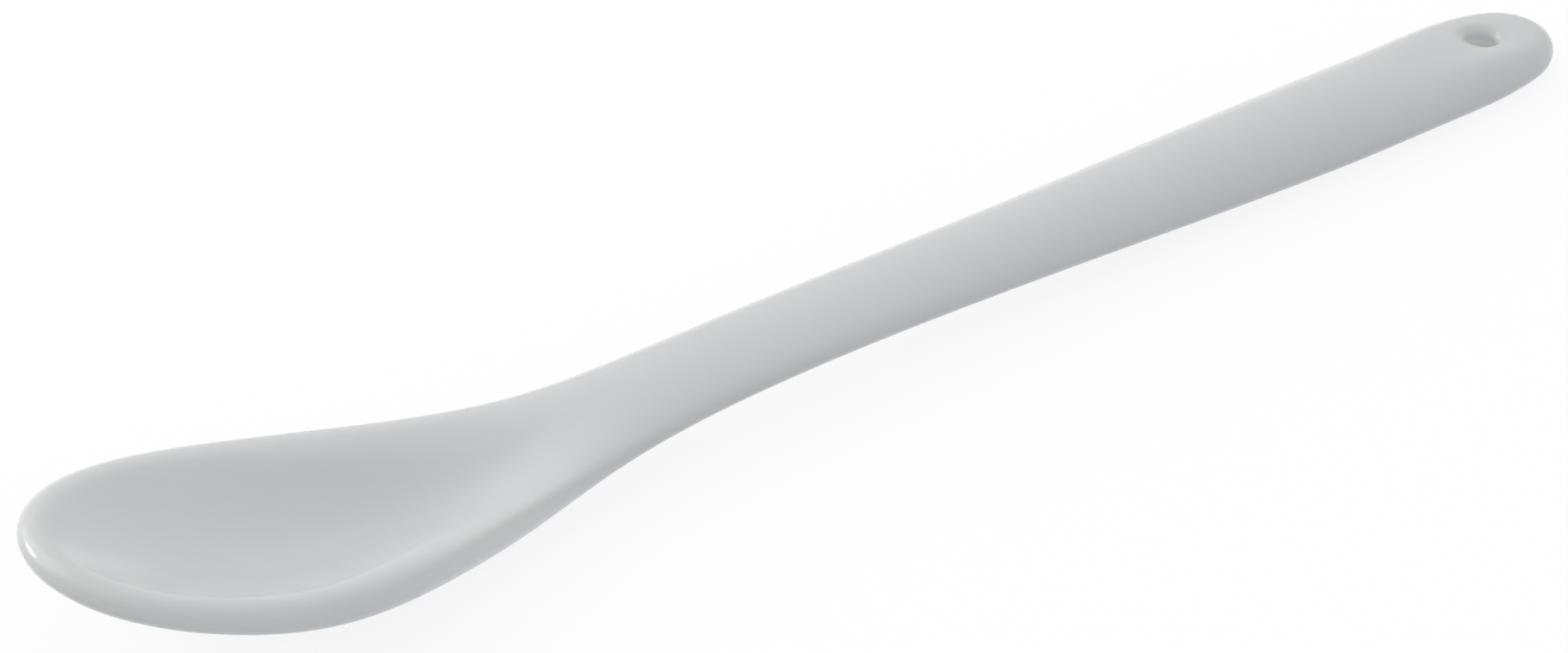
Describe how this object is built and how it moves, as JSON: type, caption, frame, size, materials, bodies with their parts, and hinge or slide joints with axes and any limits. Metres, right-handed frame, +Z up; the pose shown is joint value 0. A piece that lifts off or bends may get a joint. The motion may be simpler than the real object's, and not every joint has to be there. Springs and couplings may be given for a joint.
{
  "type": "teaspoon",
  "caption": "Glazed white porcelain teaspoon with an oval bowl that flows into a slim rounded handle, and a small hanging hole near the handle's end.",
  "frame": {"origin": "on the table plane, under the centre of the spoon's bounding box", "axes": "+X from the bowl's tip to the handle's end, +Z up out of the bowl, +Y across"},
  "size_m": [0.14, 0.0242, 0.0126],
  "materials": {
    "fired_porcelain": "bare fired porcelain, fine and matt, seen only at the dry flats",
    "white_glaze": "smooth glossy white glaze"
  },
  "bodies": {
    "root": {"porcelain_body": "fired_porcelain", "glaze_coat": "white_glaze"}
  },
  "joints": []
}
